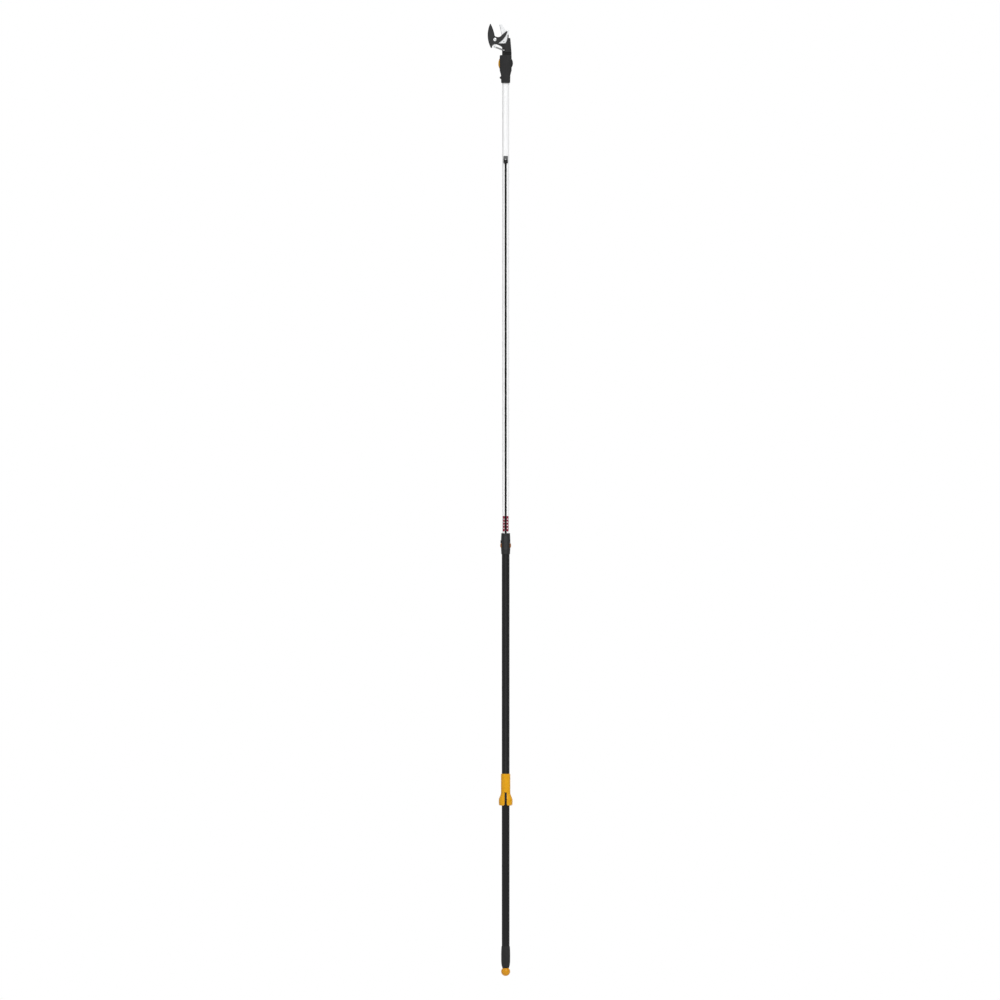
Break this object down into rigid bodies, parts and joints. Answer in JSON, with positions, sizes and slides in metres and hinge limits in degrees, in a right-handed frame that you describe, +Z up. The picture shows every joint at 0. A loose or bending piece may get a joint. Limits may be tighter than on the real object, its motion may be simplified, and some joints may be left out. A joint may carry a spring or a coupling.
{
  "type": "tree pruner pole",
  "caption": "Telescopic two-tube tree pruner pole with a slider handle and pull ball that close a bypass blade against a hook, on a head that tilts to either side.",
  "frame": {"origin": "on the pole's axis, in the middle of the end grip's hand hold", "axes": "+Z up the pole to the cutting head, -Y the side with the strap, +X to the right of the hook as the picture shows it"},
  "size_m": [0.106, 0.0576, 3.9898],
  "materials": {
    "black_tube": "fluted extrusion with a satin black coat",
    "silver_tube": "bright satin anodised",
    "black_plastic": "fine moulded texture",
    "grip_rubber": "matt, soft touch",
    "amber_plastic": "satin moulded",
    "orange_plastic": "satin moulded",
    "strap_fabric": "woven webbing",
    "hook_steel": "dark low friction coating",
    "blade_steel": "ground",
    "bright_steel": "turned",
    "link_steel": "stamped",
    "bearing_plastic": "smooth",
    "pulley_plastic": "smooth"
  },
  "bodies": {
    "pole": {"lower_tube": "black_tube", "collar_front": "black_plastic", "collar_rear": "black_plastic", "collar_screws": "bright_steel", "collar_bush": "bearing_plastic", "button_spring": "bright_steel", "end_grip": "grip_rubber", "end_plug": "bearing_plastic"},
    "button_left": {"button_left": "orange_plastic"},
    "button_right": {"button_right": "orange_plastic"},
    "telescope": {"upper_tube": "silver_tube", "foot_bush": "bearing_plastic", "strap": "strap_fabric", "strap_inner": "strap_fabric", "strap_guide": "black_plastic", "guide_screw": "bright_steel", "housing_front": "black_plastic", "housing_rear": "black_plastic", "housing_screws": "bright_steel", "trunnions": "bright_steel"},
    "head": {"arm_front": "black_plastic", "arm_rear": "black_plastic", "arm_screws": "bright_steel", "lever_pin": "bright_steel", "pulley_pin": "bright_steel", "hook_plate": "hook_steel", "pivot_bolt": "bright_steel", "pivot_spacer": "bright_steel", "pivot_nut": "bright_steel", "return_spring": "bright_steel"},
    "tilt_lever": {"tilt_lever": "amber_plastic"},
    "strap_pulley": {"strap_pulley": "pulley_plastic"},
    "blade": {"blade": "blade_steel", "spring_pin": "bright_steel", "tail_pin": "bright_steel"},
    "pull_link": {"pull_link": "link_steel", "link_pin": "bright_steel"},
    "slider": {"slider_front": "amber_plastic", "slider_rear": "amber_plastic", "slider_screws": "bright_steel", "slider_liner": "bearing_plastic", "strap_clamp": "bearing_plastic", "strap_lower": "strap_fabric"},
    "pull_ball": {"ball": "amber_plastic", "ball_ferrule": "bearing_plastic", "pull_cord": "strap_fabric"}
  },
  "joints": [
    {"name": "telescope_slide", "type": "slide", "parent": "pole", "child": "telescope", "axis": [0, 0, 1], "range_m": [-1.54, 0]},
    {"name": "head_tilt", "type": "hinge", "parent": "telescope", "child": "head", "pos_m": [0, 0, 3.743], "axis": [0, -1, 0], "range_deg": [-115, 115]},
    {"name": "blade_close", "type": "hinge", "parent": "head", "child": "blade", "pos_m": [-0.045, 0, 3.842], "axis": [0, -1, 0], "range_deg": [0, 42.2], "stiffness_Nm_per_rad": 0.15, "springref_deg": -34.38, "deforming": ["return_spring"]},
    {"name": "link_swing", "type": "hinge", "parent": "blade", "child": "pull_link", "pos_m": [-0.0465, 0, 3.812], "axis": [0, -1, 0], "range_deg": [-59.4, 0]},
    {"name": "lever_press", "type": "hinge", "parent": "head", "child": "tilt_lever", "pos_m": [-0.0095, 0, 3.77], "axis": [0, -1, 0], "range_deg": [0, 8], "stiffness_Nm_per_rad": 0.4, "springref_deg": -14.32},
    {"name": "pulley_spin", "type": "hinge", "parent": "head", "child": "strap_pulley", "pos_m": [0.0055, 0, 3.781], "axis": [0, -1, 0], "range_deg": [-175, 0]},
    {"name": "slider_pull", "type": "slide", "parent": "pole", "child": "slider", "axis": [0, 0, -1], "range_m": [0, 0.3], "stiffness_N_per_m": 20, "springref_m": -0.2, "deforming": ["strap_lower"]},
    {"name": "ball_pull", "type": "slide", "parent": "pole", "child": "pull_ball", "axis": [0, 0, -1], "range_m": [0, 0.3]},
    {"name": "button_left_press", "type": "slide", "parent": "pole", "child": "button_left", "axis": [1, 0, 0], "range_m": [0, 0.0022], "stiffness_N_per_m": 600, "springref_m": -0.003, "deforming": ["button_spring"]},
    {"name": "button_right_press", "type": "slide", "parent": "pole", "child": "button_right", "axis": [-1, 0, 0], "range_m": [0, 0.0022], "stiffness_N_per_m": 600, "springref_m": -0.003, "deforming": ["button_spring"]}
  ],
  "couplings": [
    {"joint": "blade_close", "follows": "slider_pull", "rad_per_m": 2.4435},
    {"joint": "link_swing", "follows": "slider_pull", "rad_per_m": -3.4441},
    {"joint": "pulley_spin", "follows": "slider_pull", "rad_per_m": -10},
    {"joint": "ball_pull", "follows": "slider_pull", "ratio": 1}
  ]
}
